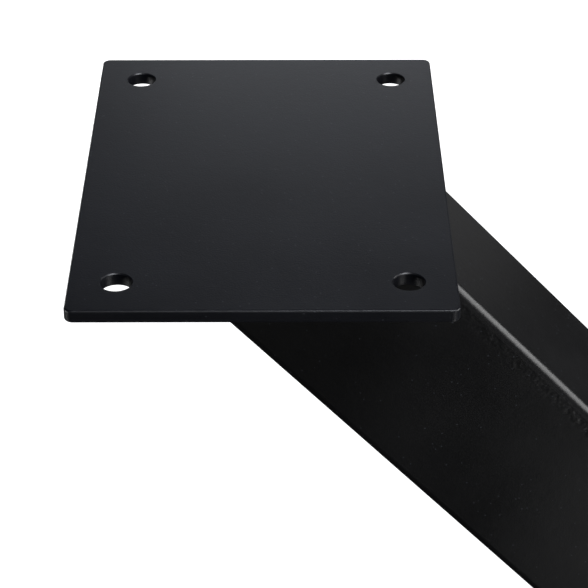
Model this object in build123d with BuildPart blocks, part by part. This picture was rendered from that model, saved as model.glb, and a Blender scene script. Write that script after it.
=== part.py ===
from build123d import *
import os
from math import atan2, cos, degrees, sin, tan

# Cross table leg: two box-tube arms crossed in one upright plane, a mounting plate on top of each
# arm and a closed foot with pressed-in glides under each. Millimetres, +X along the width,
# +Y through the depth, +Z up, origin on the floor under the middle of the leg.

# Overall size: floor to table top, and outer edge to outer edge of the mounting plates
leg_height = 720
leg_width = 770

# Mounting plates, with one screw hole near each corner
plate_width = 110
plate_depth = 155
plate_thickness = 4
plate_corner_radius = 2.5
plate_edge_radius = 0.6
hole_diameter = 9
hole_inset_x = 13.75
hole_inset_y = 15
hole_rim_chamfer = 0.3

# Square box tube of the arms
tube_side = 60
tube_wall = 2
tube_corner_radius = 3

# Foot plates that close the lower ends of the arms
foot_plate_thickness = 4
foot_plate_margin = 6
foot_plate_corner_radius = 5
foot_plate_edge_chamfer = 0.6

# Plastic glides, each a rounded head with a stem pressed into the foot plate
glide_head_diameter = 20
glide_head_height = 4
glide_edge_chamfer = 1.2
glide_stem_diameter = 8
glide_stem_reach = 3
glide_tip_chamfer = 1
glide_clearance = 0.05
glide_setback = 5.5

# Weld beads: leg length, the thickness that is left where the bead runs out on the tube, and how
# far the crowned face stands out at half height
weld_leg = 4
weld_toe = 0.5
weld_crown = 0.6
weld_middle = (weld_leg + weld_toe) / 2 + weld_crown

# Heights of the cut ends, and the middle of the crossing
top_cut = leg_height - plate_thickness
foot_cut = glide_head_height + foot_plate_thickness
plate_offset = (leg_width - plate_width) / 2
crossing = Vector(0, 0, (top_cut + foot_cut) / 2)

# Slope of the arms, from the floor, and the outline that a level cut through an arm has
arm_angle = atan2(top_cut - foot_cut, 2 * plate_offset)
arm_reach = (top_cut - foot_cut) / 2 / sin(arm_angle) + tube_side
cut_length = tube_side / sin(arm_angle)
cut_bore_length = (tube_side - 2 * tube_wall) / sin(arm_angle)
print(f"arms at {degrees(arm_angle):.2f} degrees, level cut {cut_length:.2f} mm long")


def arm_section_plane(lean):
    """Square section of an arm at the crossing, with the arm rising towards lean (-1 left, 1 right)."""
    along = Vector(lean * cos(arm_angle), 0, sin(arm_angle))
    return Plane(origin=crossing, x_dir=(0, 1, 0), z_dir=along)


def through_arm_face(side):
    """Upper (1) or lower (-1) face of the through arm, with X up along the arm."""
    outward = Vector(side * sin(arm_angle), 0, side * cos(arm_angle))
    up_the_arm = Vector(-cos(arm_angle), 0, sin(arm_angle))
    return Plane(origin=crossing + outward * (tube_side / 2), x_dir=up_the_arm, z_dir=outward)


# Through arm, one tube from the left mounting plate down to the right foot
with BuildPart() as through_arm:
    with BuildSketch(arm_section_plane(-1)):
        RectangleRounded(tube_side, tube_side, tube_corner_radius)
        offset(amount=-tube_wall, mode=Mode.SUBTRACT)
    extrude(amount=arm_reach, both=True)
    split(bisect_by=Plane.XY.offset(top_cut), keep=Keep.BOTTOM)
    split(bisect_by=Plane.XY.offset(foot_cut), keep=Keep.TOP)

# Half arms of the other diagonal, butted against the through arm's upper and lower faces
with BuildPart() as upper_half_arm:
    with BuildSketch(arm_section_plane(1)):
        RectangleRounded(tube_side, tube_side, tube_corner_radius)
        offset(amount=-tube_wall, mode=Mode.SUBTRACT)
    extrude(amount=arm_reach, both=True)
    split(bisect_by=Plane.XY.offset(top_cut), keep=Keep.BOTTOM)
    split(bisect_by=through_arm_face(1), keep=Keep.TOP)

with BuildPart() as lower_half_arm:
    with BuildSketch(arm_section_plane(1)):
        RectangleRounded(tube_side, tube_side, tube_corner_radius)
        offset(amount=-tube_wall, mode=Mode.SUBTRACT)
    extrude(amount=arm_reach, both=True)
    split(bisect_by=Plane.XY.offset(foot_cut), keep=Keep.TOP)
    split(bisect_by=through_arm_face(-1), keep=Keep.TOP)

pieces = {
    "through_arm": through_arm.part,
    "upper_half_arm": upper_half_arm.part,
    "lower_half_arm": lower_half_arm.part,
}

# Mounting plates on the arms' top ends, with rounded corners, softened edges and four holes
for side, direction in (("left", -1), ("right", 1)):
    with BuildPart() as mounting_plate:
        with BuildSketch(Plane((direction * plate_offset, 0, top_cut))):
            RectangleRounded(plate_width, plate_depth, plate_corner_radius)
        extrude(amount=plate_thickness)
        rims = mounting_plate.faces().filter_by(Axis.Z).edges()
        fillet(rims, plate_edge_radius)
        with Locations((direction * plate_offset, 0, leg_height)):
            with GridLocations(plate_width - 2 * hole_inset_x, plate_depth - 2 * hole_inset_y, 2, 2):
                Hole(hole_diameter / 2)
        hole_rims = mounting_plate.edges(Select.LAST).filter_by(GeomType.CIRCLE)
        chamfer(hole_rims, hole_rim_chamfer)
    pieces[f"mounting_plate_{side}"] = mounting_plate.part

# Foot plates under the arms' lower ends, bored for the glides' stems
glide_spacing_x = cut_bore_length - glide_stem_diameter - 2 * glide_setback
glide_spacing_y = tube_side - 2 * tube_wall - glide_stem_diameter - 2 * glide_setback
for side, direction in (("left", -1), ("right", 1)):
    with BuildPart() as foot_plate:
        with BuildSketch(Plane((direction * plate_offset, 0, glide_head_height))):
            RectangleRounded(
                cut_length + 2 * foot_plate_margin, tube_side + 2 * foot_plate_margin, foot_plate_corner_radius
            )
        extrude(amount=foot_plate_thickness)
        chamfer(foot_plate.faces().filter_by(Axis.Z).edges(), foot_plate_edge_chamfer)
        with Locations((direction * plate_offset, 0, foot_cut)):
            with GridLocations(glide_spacing_x, glide_spacing_y, 2, 2):
                Hole(glide_stem_diameter / 2 + glide_clearance)
    pieces[f"foot_plate_{side}"] = foot_plate.part

# Glides, turned about their own axis: a head that the leg stands on and a stem with a chamfered tip
glide_tip_height = foot_cut + glide_stem_reach
for side, direction in (("left", -1), ("right", 1)):
    places = GridLocations(glide_spacing_x, glide_spacing_y, 2, 2).locations
    for number, place in enumerate(places, start=1):
        glide_x = direction * plate_offset + place.position.X
        glide_y = place.position.Y
        with BuildPart() as glide:
            with BuildSketch(Plane((glide_x, glide_y, 0))):
                Circle(glide_head_diameter / 2)
            extrude(amount=glide_head_height)
            chamfer(glide.edges().sort_by(Axis.Z)[0], glide_edge_chamfer)
            with BuildSketch(Plane((glide_x, glide_y, glide_head_height))):
                Circle(glide_stem_diameter / 2)
            extrude(amount=glide_tip_height - glide_head_height)
            chamfer(glide.edges().sort_by(Axis.Z)[-1], glide_tip_chamfer)
        pieces[f"glide_{side}_{number}"] = glide.part

# Sections of a bead, from where it meets the flat face to its toe: height, and reach from the tube
bead_sections = ((0, weld_leg), (weld_leg / 2, weld_middle), (weld_leg, weld_toe))

# Weld beads round the arms' level ends, against the mounting plates and the foot plates
for side, direction in (("left", -1), ("right", 1)):
    for end, seat, away, lean in (("top", top_cut, -1, direction), ("foot", foot_cut, 1, -direction)):
        with BuildPart() as end_weld:
            for height, reach in bead_sections:
                drift = direction * height / tan(arm_angle)
                with BuildSketch(Plane((direction * plate_offset - drift, 0, seat + away * height))):
                    RectangleRounded(
                        cut_length + 2 * reach, tube_side + 2 * reach, tube_corner_radius + reach
                    )
            loft(ruled=True)
            with BuildSketch(arm_section_plane(lean)):
                RectangleRounded(tube_side, tube_side, tube_corner_radius)
            extrude(amount=arm_reach, both=True, mode=Mode.SUBTRACT)
        pieces[f"{end}_weld_{side}"] = end_weld.part

# Weld beads round the crossing: a wedge in each inner corner, joined at the front and back by a
# flush fill between the half arm's end and the through arm's rounded edges
butt_length = tube_side / sin(2 * arm_angle)
butt_drift = -1 / tan(2 * arm_angle)
for place, side in (("upper", 1), ("lower", -1)):
    face = through_arm_face(side)
    middle = side * butt_drift * tube_side / 2
    with BuildPart() as crossing_weld:
        for height, reach in bead_sections:
            with BuildSketch(face.offset(height)):
                with Locations((middle + side * butt_drift * height, 0)):
                    Rectangle(butt_length + 2 * reach, tube_side)
        loft(ruled=True)
        with BuildSketch(arm_section_plane(1)):
            RectangleRounded(tube_side, tube_side, tube_corner_radius)
        extrude(amount=side * arm_reach, mode=Mode.SUBTRACT)
        with BuildSketch(face.offset(-tube_corner_radius)):
            with Locations((middle, 0)):
                Rectangle(butt_length + 2 * weld_leg, tube_side)
        extrude(amount=tube_corner_radius)
        with BuildSketch(arm_section_plane(-1)):
            RectangleRounded(tube_side, tube_side, tube_corner_radius)
        extrude(amount=arm_reach, both=True, mode=Mode.SUBTRACT)
    pieces[f"crossing_weld_{place}"] = crossing_weld.part

# Label each piece and write it to a file of its own
os.makedirs("parts", exist_ok=True)
for name, piece in pieces.items():
    piece.label = name
    export_step(piece, f"parts/{name}.step")
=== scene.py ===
from math import atan2, pi, radians, sin

import bpy
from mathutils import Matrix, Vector


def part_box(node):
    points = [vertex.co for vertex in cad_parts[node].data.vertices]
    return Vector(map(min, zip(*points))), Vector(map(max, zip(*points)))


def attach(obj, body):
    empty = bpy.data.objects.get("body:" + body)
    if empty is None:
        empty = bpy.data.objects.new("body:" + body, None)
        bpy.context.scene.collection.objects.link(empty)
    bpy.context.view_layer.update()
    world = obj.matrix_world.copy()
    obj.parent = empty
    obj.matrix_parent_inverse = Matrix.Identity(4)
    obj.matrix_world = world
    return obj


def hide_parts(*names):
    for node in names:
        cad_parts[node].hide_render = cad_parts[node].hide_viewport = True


# Cross table leg in black powder coat, seen from close above its left mounting plate.
# Lengths are in metres unless a name says mm.

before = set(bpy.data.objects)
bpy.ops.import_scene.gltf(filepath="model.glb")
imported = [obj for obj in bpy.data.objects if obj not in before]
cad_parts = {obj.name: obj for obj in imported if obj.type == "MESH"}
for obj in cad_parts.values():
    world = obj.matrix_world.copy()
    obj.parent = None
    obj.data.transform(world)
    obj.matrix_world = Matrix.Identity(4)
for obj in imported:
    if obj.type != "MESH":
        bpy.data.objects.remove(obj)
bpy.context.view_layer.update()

mm = 0.001

# Places that the lamps, the camera and the patterns are set out from
plate_low, plate_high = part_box("mounting_plate_left")
plate_centre = Vector((
    (plate_low.x + plate_high.x) / 2,
    (plate_low.y + plate_high.y) / 2,
    plate_high.z))
arm_low, arm_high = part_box("through_arm")
crossing = Vector((0, 0, (arm_low.z + arm_high.z) / 2))
leg_middle = Vector((0, 0, plate_high.z / 2))

# The arms' slope from the floor, and half the side of their square tube
arm_slope = atan2(arm_high.z - arm_low.z, -2 * plate_centre.x)
half_tube = (arm_high.y - arm_low.y) / 2


def linear(hex_colour):
    """A colour written as sRGB hex, as the linear RGBA that the nodes take."""
    channels = [int(hex_colour[i:i + 2], 16) / 255 for i in (1, 3, 5)]
    return [c / 12.92 if c <= 0.04045 else ((c + 0.055) / 1.055) ** 2.4 for c in channels] + [1.0]


def add_node(tree, kind, settings=None, inputs=None):
    """Adds a node, sets its properties, and fills its inputs, by name or by number, with values or
    with other nodes' outputs."""
    node = tree.nodes.new(kind)
    for name, value in (settings or {}).items():
        setattr(node, name, value)
    for name, value in (inputs or {}).items():
        if isinstance(value, bpy.types.NodeSocket):
            tree.links.new(value, node.inputs[name])
        else:
            node.inputs[name].default_value = value
    return node


def new_material(name):
    """An empty node material, and its tree."""
    material = bpy.data.materials.new(name)
    material.use_nodes = True
    material.node_tree.nodes.clear()
    return material, material.node_tree


def powder_coat(name, tones, grain_depth_mm, peel_depth_mm, slope=0.0, seam_depth_mm=0.0):
    """Polyester powder coat, sprayed and baked: matte black, with a fine grain over a faint orange
    peel, soft clouds and lengthwise streaks in the sheen, and a nib of dust here and there. The
    streaks run at the slope given. Where a seam has a depth, its low lumps run along the arm, just
    below its upper edges."""
    # The real grain is finer than this, and is drawn coarser so that it shows
    grain_mm, peel_mm, cloud_mm, lump_mm = 0.6, 2.6, 45.0, 2.4
    streak_mm, streak_length_mm = 0.6, 8.4
    nib_gap_mm, nib_core_mm, nib_rim_mm = 3.2, 0.192, 0.32
    nib_colour = "#34363a"
    roughness, roughness_swing = 0.36, 0.08
    streak_share, cloud_share = 0.35, 0.45
    seam_below_edge_mm, seam_core_mm, seam_reach_mm = 4.6, 0.8, 3.2
    noise_low, noise_middle, noise_high = 0.3, 0.5, 0.7

    material, tree = new_material(name)
    place = add_node(tree, "ShaderNodeTexCoord").outputs["Object"]
    along = add_node(tree, "ShaderNodeMapping", {"vector_type": "TEXTURE"}, {
        "Vector": place, "Location": crossing, "Rotation": (0, slope, 0)})
    drawn_out = add_node(tree, "ShaderNodeMapping", {"vector_type": "TEXTURE"}, {
        "Vector": along.outputs["Vector"], "Scale": (streak_length_mm / streak_mm, 1, 1)})
    grain = add_node(tree, "ShaderNodeTexNoise", None, {
        "Vector": place, "Scale": 1 / (grain_mm * mm), "Detail": 2.0, "Roughness": 0.6})
    peel = add_node(tree, "ShaderNodeTexNoise", None, {
        "Vector": place, "Scale": 1 / (peel_mm * mm), "Detail": 1.0})
    cloud = add_node(tree, "ShaderNodeTexNoise", None, {
        "Vector": place, "Scale": 1 / (cloud_mm * mm), "Detail": 3.0})
    streak = add_node(tree, "ShaderNodeTexNoise", None, {
        "Vector": drawn_out.outputs["Vector"], "Scale": 1 / (streak_mm * mm), "Detail": 3.0})
    lump = add_node(tree, "ShaderNodeTexNoise", None, {
        "Vector": place, "Scale": 1 / (lump_mm * mm), "Detail": 1.0})
    nib = add_node(tree, "ShaderNodeTexVoronoi", None, {
        "Vector": place, "Scale": 1 / (nib_gap_mm * mm)})

    # Colour: clouds of a slightly lighter black, with the nibs lighter still
    dark, light = tones
    shade = add_node(tree, "ShaderNodeMapRange", None, {
        "Value": cloud.outputs["Fac"], "From Min": noise_low, "From Max": noise_high})
    clouded = add_node(tree, "ShaderNodeMix", {"data_type": "RGBA"}, {
        "Factor": shade.outputs["Result"], "A": linear(dark), "B": linear(light)})
    dust = add_node(tree, "ShaderNodeMapRange", None, {
        "Value": nib.outputs["Distance"], "From Min": nib_core_mm / nib_gap_mm,
        "From Max": nib_rim_mm / nib_gap_mm, "To Min": 1.0, "To Max": 0.0})
    colour = add_node(tree, "ShaderNodeMix", {"data_type": "RGBA"}, {
        "Factor": dust.outputs["Result"], "A": clouded.outputs["Result"], "B": linear(nib_colour)})

    # Sheen: the grain, the streaks and the clouds make it a little rougher or smoother
    lined = add_node(tree, "ShaderNodeMix", {"data_type": "FLOAT"}, {
        "Factor": streak_share, "A": grain.outputs["Fac"], "B": streak.outputs["Fac"]})
    uneven = add_node(tree, "ShaderNodeMix", {"data_type": "FLOAT"}, {
        "Factor": cloud_share, "A": lined.outputs["Result"], "B": cloud.outputs["Fac"]})
    gloss = add_node(tree, "ShaderNodeMapRange", None, {
        "Value": uneven.outputs["Result"], "From Min": noise_low, "From Max": noise_high,
        "To Min": roughness - roughness_swing, "To Max": roughness + roughness_swing})

    # Seam: the part of the lumps that lies about 1 to 8 mm below the arm's upper edges
    across = add_node(tree, "ShaderNodeSeparateXYZ", None, {"Vector": along.outputs["Vector"]})
    past_seam = add_node(tree, "ShaderNodeMath", {"operation": "SUBTRACT"}, {
        0: across.outputs["Z"], 1: half_tube - seam_below_edge_mm * mm})
    off_seam = add_node(tree, "ShaderNodeMath", {"operation": "ABSOLUTE"}, {
        0: past_seam.outputs["Value"]})
    in_seam = add_node(tree, "ShaderNodeMapRange", {"interpolation_type": "SMOOTHSTEP"}, {
        "Value": off_seam.outputs["Value"], "From Min": seam_core_mm * mm,
        "From Max": seam_reach_mm * mm, "To Min": 1.0, "To Max": 0.0})
    rise = add_node(tree, "ShaderNodeMath", {"operation": "SUBTRACT"}, {
        0: lump.outputs["Fac"], 1: noise_middle})
    seam = add_node(tree, "ShaderNodeMath", {"operation": "MULTIPLY"}, {
        0: in_seam.outputs["Result"], 1: rise.outputs["Value"]})

    # Relief: the peel, the seam on it and the grain over both
    peel_bump = add_node(tree, "ShaderNodeBump", None, {
        "Height": peel.outputs["Fac"], "Strength": 1.0, "Distance": peel_depth_mm * mm})
    seam_bump = add_node(tree, "ShaderNodeBump", None, {
        "Height": seam.outputs["Value"], "Strength": 1.0, "Distance": seam_depth_mm * mm,
        "Normal": peel_bump.outputs["Normal"]})
    grain_bump = add_node(tree, "ShaderNodeBump", None, {
        "Height": grain.outputs["Fac"], "Strength": 1.0, "Distance": grain_depth_mm * mm,
        "Normal": seam_bump.outputs["Normal"]})
    shader = add_node(tree, "ShaderNodeBsdfPrincipled", None, {
        "Base Color": colour.outputs["Result"], "Roughness": gloss.outputs["Result"],
        "Specular IOR Level": 0.5, "Normal": grain_bump.outputs["Normal"]})
    add_node(tree, "ShaderNodeOutputMaterial", None, {"Surface": shader.outputs["BSDF"]})
    return material


def polyethylene(name):
    """Moulded black polyethylene: soft sheen with a fine spark-eroded grain, drawn a little coarser
    than it is so that it shows."""
    grain_mm, grain_depth_mm = 0.5, 0.05
    smoothest, roughest = 0.4, 0.6

    material, tree = new_material(name)
    place = add_node(tree, "ShaderNodeTexCoord").outputs["Object"]
    grain = add_node(tree, "ShaderNodeTexNoise", None, {
        "Vector": place, "Scale": 1 / (grain_mm * mm), "Detail": 2.0})
    gloss = add_node(tree, "ShaderNodeMapRange", None, {
        "Value": grain.outputs["Fac"], "To Min": smoothest, "To Max": roughest})
    bump = add_node(tree, "ShaderNodeBump", None, {
        "Height": grain.outputs["Fac"], "Strength": 0.3, "Distance": grain_depth_mm * mm})
    shader = add_node(tree, "ShaderNodeBsdfPrincipled", None, {
        "Base Color": linear("#121212"), "Roughness": gloss.outputs["Result"], "IOR": 1.5,
        "Normal": bump.outputs["Normal"]})
    add_node(tree, "ShaderNodeOutputMaterial", None, {"Surface": shader.outputs["BSDF"]})
    return material


# The darker and the lighter black of each coat: bluish on the plates, neutral on the tubes
sheet_tones = ("#0a0b10", "#0d0f15")
tube_tones = ("#0b0b0c", "#0f0f10")

sheet_coat = powder_coat(
    "powder_coat_on_sheet", sheet_tones, grain_depth_mm=0.035, peel_depth_mm=0.015)
through_arm_coat = powder_coat(
    "powder_coat_on_through_tube", tube_tones, grain_depth_mm=0.022, peel_depth_mm=0.035,
    slope=arm_slope, seam_depth_mm=0.3)
half_arm_coat = powder_coat(
    "powder_coat_on_half_tubes", tube_tones, grain_depth_mm=0.022, peel_depth_mm=0.035,
    slope=-arm_slope)
weld_coat = powder_coat(
    "powder_coat_on_weld", tube_tones, grain_depth_mm=0.022, peel_depth_mm=0.035)
glide_plastic = polyethylene("moulded_polyethylene")

# The finish of each solid, by a word in its name
finishes = {
    "plate": sheet_coat,
    "through_arm": through_arm_coat,
    "half_arm": half_arm_coat,
    "weld": weld_coat,
    "glide": glide_plastic,
}
for node_name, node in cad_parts.items():
    finish = next(material for word, material in finishes.items() if word in node_name)
    node.data.materials.clear()
    node.data.materials.append(finish)

# Weld beads: each solid bead again, with the ripples that the torch leaves and softened edges. The
# ripples go by x + y, so that they cross the bead on all its sides.
ripple_pitch_mm, ripple_depth_mm = 2.2, 0.3
merge_mm, bead_grid_mm, softening_rounds = 0.01, 0.5, 3
for node_name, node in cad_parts.items():
    if "weld" not in node_name:
        continue
    bead = node.copy()
    bead.data = node.data.copy()
    bead.name = f"rippled_{node_name}"
    bpy.context.scene.collection.objects.link(bead)
    bpy.ops.object.select_all(action="DESELECT")
    bead.select_set(True)
    bpy.context.view_layer.objects.active = bead
    bpy.ops.object.mode_set(mode="EDIT")
    bpy.ops.mesh.select_all(action="SELECT")
    bpy.ops.mesh.remove_doubles(threshold=merge_mm * mm)
    bpy.ops.object.mode_set(mode="OBJECT")
    grid = bead.modifiers.new("grid", "REMESH")
    grid.mode = "VOXEL"
    grid.voxel_size = bead_grid_mm * mm
    bpy.ops.object.modifier_apply(modifier="grid")
    soften = bead.modifiers.new("soften", "SMOOTH")
    soften.iterations = softening_rounds
    bpy.ops.object.modifier_apply(modifier="soften")
    rippled = []
    for point in bead.data.vertices:
        wave = 0.5 + 0.5 * sin(2 * pi * (point.co.x + point.co.y) / (ripple_pitch_mm * mm))
        rippled.append(point.co - point.normal * (wave * ripple_depth_mm * mm))
    for point, moved in zip(bead.data.vertices, rippled):
        point.co = moved
    bpy.ops.object.shade_smooth()
    bead.data.materials.clear()
    bead.data.materials.append(weld_coat)
    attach(bead, "root")
    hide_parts(node_name)

# Floor: white to the camera, with the object's shadow left on it, and clear from below. Near the
# leg, where the lamps light it too, its own glow is weaker, so that the shadow shows. To all other
# rays it is dim, because the black faces mirror it: a pale one would turn them grey.
floor_side = 18.0
floor_pale, floor_dim = "#d8d8d8", "#2c2c2c"
glow_near_leg, glow_far_off = 0.62, 1.0
near_leg, far_off = 0.45, 1.7
bpy.ops.object.select_all(action="DESELECT")
bpy.ops.mesh.primitive_plane_add(size=floor_side, location=(0, 0, 0))
floor = bpy.context.object
floor.name = "floor"
floor_paint, tree = new_material("white_studio_floor")
ray = add_node(tree, "ShaderNodeLightPath")
side = add_node(tree, "ShaderNodeNewGeometry")
place = add_node(tree, "ShaderNodeTexCoord").outputs["Object"]
distance = add_node(tree, "ShaderNodeVectorMath", {"operation": "LENGTH"}, {"Vector": place})
fade = add_node(tree, "ShaderNodeMapRange", None, {
    "Value": distance.outputs["Value"], "From Min": near_leg, "From Max": far_off,
    "To Min": glow_near_leg, "To Max": glow_far_off})
matte = add_node(tree, "ShaderNodeBsdfDiffuse", None, {"Color": linear(floor_pale)})
glow = add_node(tree, "ShaderNodeEmission", None, {
    "Color": linear("#ffffff"), "Strength": fade.outputs["Result"]})
lit = add_node(tree, "ShaderNodeAddShader", None, {
    0: matte.outputs["BSDF"], 1: glow.outputs["Emission"]})
dim = add_node(tree, "ShaderNodeBsdfDiffuse", None, {"Color": linear(floor_dim)})
seen = add_node(tree, "ShaderNodeMixShader", None, {
    "Fac": ray.outputs["Is Camera Ray"], 1: dim.outputs["BSDF"], 2: lit.outputs["Shader"]})
clear = add_node(tree, "ShaderNodeBsdfTransparent")
one_sided = add_node(tree, "ShaderNodeMixShader", None, {
    "Fac": side.outputs["Backfacing"], 1: seen.outputs["Shader"], 2: clear.outputs["BSDF"]})
add_node(tree, "ShaderNodeOutputMaterial", None, {"Surface": one_sided.outputs["Shader"]})
floor.data.materials.append(floor_paint)

# Backdrop: white to the camera, a dim room to all other rays. Glossy and transmission rays meet
# the dim room too, because there is no bare metal or glass to show white, and the black coat
# would turn grey in it.
room_light, backdrop_light = 0.02, 1.0
world = bpy.data.worlds.new("studio")
bpy.context.scene.world = world
world.use_nodes = True
tree = world.node_tree
tree.nodes.clear()
ray = add_node(tree, "ShaderNodeLightPath")
room = add_node(tree, "ShaderNodeBackground", None, {
    "Color": linear("#ffffff"), "Strength": room_light})
white = add_node(tree, "ShaderNodeBackground", None, {
    "Color": linear("#ffffff"), "Strength": backdrop_light})
backdrop = add_node(tree, "ShaderNodeMixShader", None, {
    "Fac": ray.outputs["Is Camera Ray"], 1: room.outputs["Background"],
    2: white.outputs["Background"]})
add_node(tree, "ShaderNodeOutputWorld", None, {"Surface": backdrop.outputs["Shader"]})

# Softboxes: what each is aimed at, its offset from there, width, height, power in watts and colour.
# The black coat shows mostly what it mirrors, so each lamp stands where a face of the leg mirrors it
# to the camera: the key in the plate's front edge, the right one in the arm's upper front edge, the
# back ones in the plate's top, the corner one in the arm's upper face and the low one in its front.
# The fills light the sides that the camera doesn't see, and reach the front faces a little.
softboxes = {
    "key_softbox": (plate_centre, (0.72, -0.86, 1.95), 1.05, 1.05, 39.9, "#f5f8ff"),
    "right_softbox": (plate_centre, (1.94, -0.20, 0.42), 1.7, 1.0, 33.0, "#ffffff"),
    "back_softbox": (plate_centre, (0.06, 1.78, 0.25), 0.9, 0.375, 1.4, "#f3f7ff"),
    "back_near_softbox": (plate_centre, (0.05, 0.60, 0.08), 0.4, 0.4, 0.14, "#f3f7ff"),
    "back_low_strip": (plate_centre, (0.03, 0.42, 0.05), 0.2, 0.2, 0.08, "#f3f7ff"),
    "corner_glint": (plate_centre, (0.22, 0.30, -0.03), 0.12, 0.12, 0.010, "#ffffff"),
    "front_low_softbox": (plate_centre, (0.35, -0.30, -0.45), 0.25, 0.25, 0.40, "#ffffff"),
    "left_fill": (leg_middle, (-2.0, -0.4, -0.05), 1.2, 0.6, 11.0, "#ffffff"),
    "back_fill": (leg_middle, (-1.0, 2.0, -0.05), 1.2, 0.6, 18.0, "#ffffff"),
    "front_fill": (leg_middle, (-0.2, -2.4, 0.20), 1.6, 0.9, 3.0, "#ffffff"),
}
for name, (target, offset, width, height, power, colour) in softboxes.items():
    lamp = bpy.data.lights.new(name, "AREA")
    lamp.shape = "RECTANGLE"
    lamp.size = width
    lamp.size_y = height
    lamp.energy = power
    lamp.color = linear(colour)[:3]
    softbox = bpy.data.objects.new(name, lamp)
    bpy.context.scene.collection.objects.link(softbox)
    softbox.location = target + Vector(offset)
    softbox.rotation_euler = (-Vector(offset)).to_track_quat("-Z", "Y").to_euler()
    softbox.visible_camera = False

# Camera, at the photograph's place above and in front of the left plate, looking down at it. The
# lens is given as its length in pixels of the picture.
camera_offset = Vector((0.00735, -0.56447, 0.31917))
looks_down_degrees, yaw_degrees = 32.781, -0.173
lens_px, picture_px = 2111.9, 588
camera_data = bpy.data.cameras.new("camera")
camera_data.lens = lens_px / picture_px * camera_data.sensor_width
camera = bpy.data.objects.new("camera", camera_data)
bpy.context.scene.collection.objects.link(camera)
camera.location = plate_centre + camera_offset
camera.rotation_euler = (radians(90 - looks_down_degrees), 0, radians(yaw_degrees))
bpy.context.scene.camera = camera
bpy.context.scene.view_settings.view_transform = "Standard"
